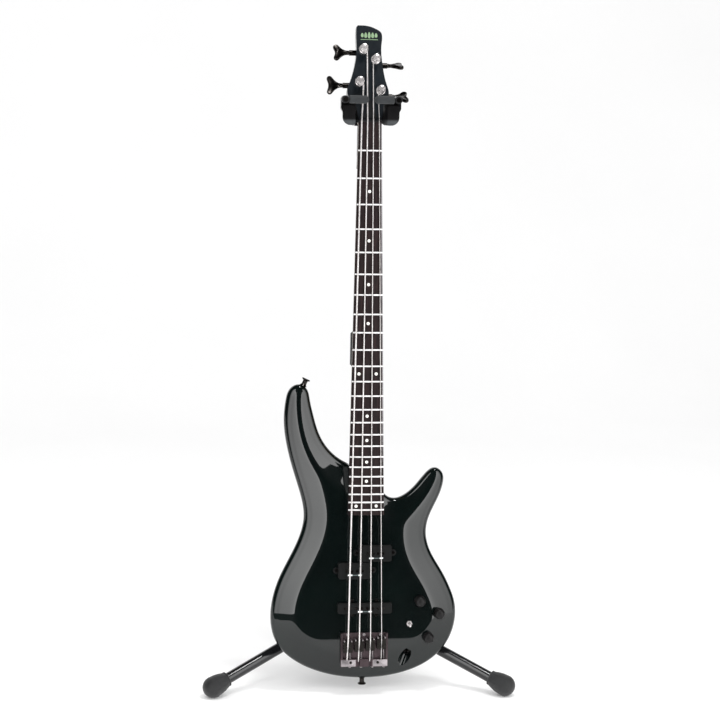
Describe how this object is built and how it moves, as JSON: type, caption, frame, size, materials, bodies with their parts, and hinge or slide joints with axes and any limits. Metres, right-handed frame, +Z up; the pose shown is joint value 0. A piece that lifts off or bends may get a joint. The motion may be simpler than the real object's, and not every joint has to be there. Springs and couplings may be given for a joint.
{
  "type": "bass guitar on stand",
  "caption": "Solid-body bass guitar hanging by its headstock in a self-closing padded yoke on a folding tripod stand with a telescoping column.",
  "frame": {"origin": "on the floor, under the middle of the model's box, between the column and the guitar", "axes": "+Z up the column, the guitar faces -Y, +X towards the treble side (right, seen from the front)"},
  "size_m": [0.5309, 0.4754, 1.1237],
  "materials": {
    "black_enamel": "gloss",
    "cast_black": "satin",
    "black_nylon": "satin",
    "foam_rubber": "matte",
    "foot_rubber": "matte",
    "zinc_steel": "satin",
    "green_lacquer": "gloss lacquer",
    "neck_maple": "satin",
    "rosewood": "oiled",
    "nickel": "polished",
    "pearl": "gloss",
    "black_bone": "satin",
    "string_steel": "wound",
    "black_nickel": "polished dark",
    "pickup_black": "satin",
    "knob_black": "satin",
    "coil_copper": "enamelled wire",
    "pot_steel": "plain",
    "board_green": "gloss",
    "battery_case": "gloss"
  },
  "bodies": {
    "base": {"base_hub": "cast_black", "lower_tube": "black_enamel", "clutch_collar": "black_nylon", "leg_pins": "zinc_steel", "rest_bar": "black_enamel", "rest_pads": "foam_rubber"},
    "leg_front_left": {"leg_tube_front_left": "black_enamel", "leg_foot_front_left": "foot_rubber"},
    "leg_front_right": {"leg_tube_front_right": "black_enamel", "leg_foot_front_right": "foot_rubber"},
    "leg_rear": {"leg_tube_rear": "black_enamel", "leg_foot_rear": "foot_rubber"},
    "clutch_knob": {"clutch_knob": "black_nylon"},
    "upper_column": {"upper_tube": "black_enamel", "yoke_head": "cast_black", "yoke_spring": "zinc_steel"},
    "cradle": {"cradle_frame": "black_enamel", "arm_foams": "foam_rubber", "gate_pins": "zinc_steel"},
    "gate_left": {"gate_left": "foam_rubber"},
    "gate_right": {"gate_right": "foam_rubber"},
    "guitar": {"guitar_body": "green_lacquer", "neck": "neck_maple", "fingerboard": "rosewood", "frets": "nickel", "dot_inlays": "pearl", "nut": "black_bone", "truss_rod": "zinc_steel", "truss_rod_cover": "black_bone", "tuner_ferrules": "nickel", "tuner_housings": "black_nickel", "strings": "string_steel", "bridge_plate": "black_nickel", "bridge_saddles": "black_nickel", "bridge_screws": "zinc_steel", "pickup_covers": "pickup_black", "pickup_coils": "coil_copper", "pole_pieces": "nickel", "pickup_screws": "zinc_steel", "pots": "pot_steel", "toggle_switch": "nickel", "output_jack": "nickel", "preamp_board": "board_green", "battery": "battery_case", "rear_covers": "pickup_black", "cover_screws": "zinc_steel", "neck_bolts": "black_nickel", "strap_buttons": "black_nickel"},
    "tuner_post_e": {"tuner_post_e": "nickel"},
    "tuner_key_e": {"tuner_key_e": "black_nickel"},
    "tuner_post_a": {"tuner_post_a": "nickel"},
    "tuner_key_a": {"tuner_key_a": "black_nickel"},
    "tuner_post_d": {"tuner_post_d": "nickel"},
    "tuner_key_d": {"tuner_key_d": "black_nickel"},
    "tuner_post_g": {"tuner_post_g": "nickel"},
    "tuner_key_g": {"tuner_key_g": "black_nickel"},
    "knob_volume": {"knob_volume": "knob_black"},
    "knob_balance": {"knob_balance": "knob_black"},
    "knob_tone": {"knob_tone": "knob_black"},
    "toggle_bat": {"toggle_bat": "nickel"}
  },
  "joints": [
    {"name": "leg_fold_front_left", "type": "hinge", "parent": "base", "child": "leg_front_left", "pos_m": [-0.02927, -0.08424, 0.11], "axis": [0.4617, -0.887, 0], "range_deg": [0, 69]},
    {"name": "leg_fold_front_right", "type": "hinge", "parent": "base", "child": "leg_front_right", "pos_m": [0.02783, -0.08673, 0.11], "axis": [0.5373, 0.8434, 0], "range_deg": [0, 69]},
    {"name": "leg_fold_rear", "type": "hinge", "parent": "base", "child": "leg_rear", "pos_m": [0.00144, -0.03603, 0.11], "axis": [-0.999, 0.0436, 0], "range_deg": [0, 69]},
    {"name": "clutch_turn", "type": "hinge", "parent": "base", "child": "clutch_knob", "pos_m": [0, -0.029, 0.59], "axis": [0, 1, 0], "range_deg": [0, 360]},
    {"name": "column_height", "type": "slide", "parent": "base", "child": "upper_column", "axis": [0, 0, 1], "range_m": [0, 0.165]},
    {"name": "yoke_rise", "type": "slide", "parent": "upper_column", "child": "cradle", "axis": [0, 0, 1], "range_m": [0, 0.012], "stiffness_N_per_m": 500, "springref_m": 0.03, "deforming": ["yoke_spring"]},
    {"name": "gate_left_swing", "type": "hinge", "parent": "cradle", "child": "gate_left", "pos_m": [-0.044, -0.1685, 1.0017], "axis": [0, -1, 0], "range_deg": [0, 85]},
    {"name": "gate_right_swing", "type": "hinge", "parent": "cradle", "child": "gate_right", "pos_m": [0.044, -0.1685, 1.0017], "axis": [0, 1, 0], "range_deg": [0, 85]},
    {"name": "guitar_lift", "type": "slide", "parent": "cradle", "child": "guitar", "axis": [0, 0.0698, 0.9976], "range_m": [0, 0.15]},
    {"name": "tuner_post_e_turn", "type": "hinge", "parent": "guitar", "child": "tuner_post_e", "pos_m": [-0.0167, -0.13449, 1.03083], "axis": [0, -0.9703, 0.2419], "continuous": true},
    {"name": "tuner_key_e_turn", "type": "hinge", "parent": "guitar", "child": "tuner_key_e", "pos_m": [-0.045, -0.11399, 1.02418], "axis": [-1, 0, 0], "continuous": true},
    {"name": "tuner_post_a_turn", "type": "hinge", "parent": "guitar", "child": "tuner_post_a", "pos_m": [-0.0095, -0.12108, 1.08459], "axis": [0, -0.9703, 0.2419], "continuous": true},
    {"name": "tuner_key_a_turn", "type": "hinge", "parent": "guitar", "child": "tuner_key_a", "pos_m": [-0.0335, -0.10046, 1.07842], "axis": [-1, 0, 0], "continuous": true},
    {"name": "tuner_post_d_turn", "type": "hinge", "parent": "guitar", "child": "tuner_post_d", "pos_m": [0.0107, -0.12517, 1.06819], "axis": [0, -0.9703, 0.2419], "continuous": true},
    {"name": "tuner_key_d_turn", "type": "hinge", "parent": "guitar", "child": "tuner_key_d", "pos_m": [0.0345, -0.10552, 1.05814], "axis": [1, 0, 0], "continuous": true},
    {"name": "tuner_post_g_turn", "type": "hinge", "parent": "guitar", "child": "tuner_post_g", "pos_m": [0.0184, -0.13795, 1.01696], "axis": [0, -0.9703, 0.2419], "continuous": true},
    {"name": "tuner_key_g_turn", "type": "hinge", "parent": "guitar", "child": "tuner_key_g", "pos_m": [0.0425, -0.11829, 1.0069], "axis": [1, 0, 0], "continuous": true},
    {"name": "knob_volume_turn", "type": "hinge", "parent": "guitar", "child": "knob_volume", "pos_m": [0.0952, -0.20524, 0.16231], "axis": [0, -0.9976, 0.0698], "range_deg": [-135, 135]},
    {"name": "knob_balance_turn", "type": "hinge", "parent": "guitar", "child": "knob_balance", "pos_m": [0.1285, -0.20677, 0.14037], "axis": [0, -0.9976, 0.0698], "range_deg": [-135, 135]},
    {"name": "knob_tone_turn", "type": "hinge", "parent": "guitar", "child": "knob_tone", "pos_m": [0.11, -0.20963, 0.09947], "axis": [0, -0.9976, 0.0698], "range_deg": [-135, 135]},
    {"name": "toggle_flip", "type": "hinge", "parent": "guitar", "child": "toggle_bat", "pos_m": [0.0776, -0.20097, 0.12292], "axis": [-1, 0, 0], "range_deg": [0, 22]}
  ],
  "couplings": [
    {"joint": "gate_left_swing", "follows": "yoke_rise", "rad_per_m": 123.5},
    {"joint": "gate_right_swing", "follows": "yoke_rise", "rad_per_m": 123.5},
    {"joint": "tuner_post_e_turn", "follows": "tuner_key_e_turn", "ratio": 0.05},
    {"joint": "tuner_post_a_turn", "follows": "tuner_key_a_turn", "ratio": 0.05},
    {"joint": "tuner_post_d_turn", "follows": "tuner_key_d_turn", "ratio": 0.05},
    {"joint": "tuner_post_g_turn", "follows": "tuner_key_g_turn", "ratio": 0.05}
  ]
}
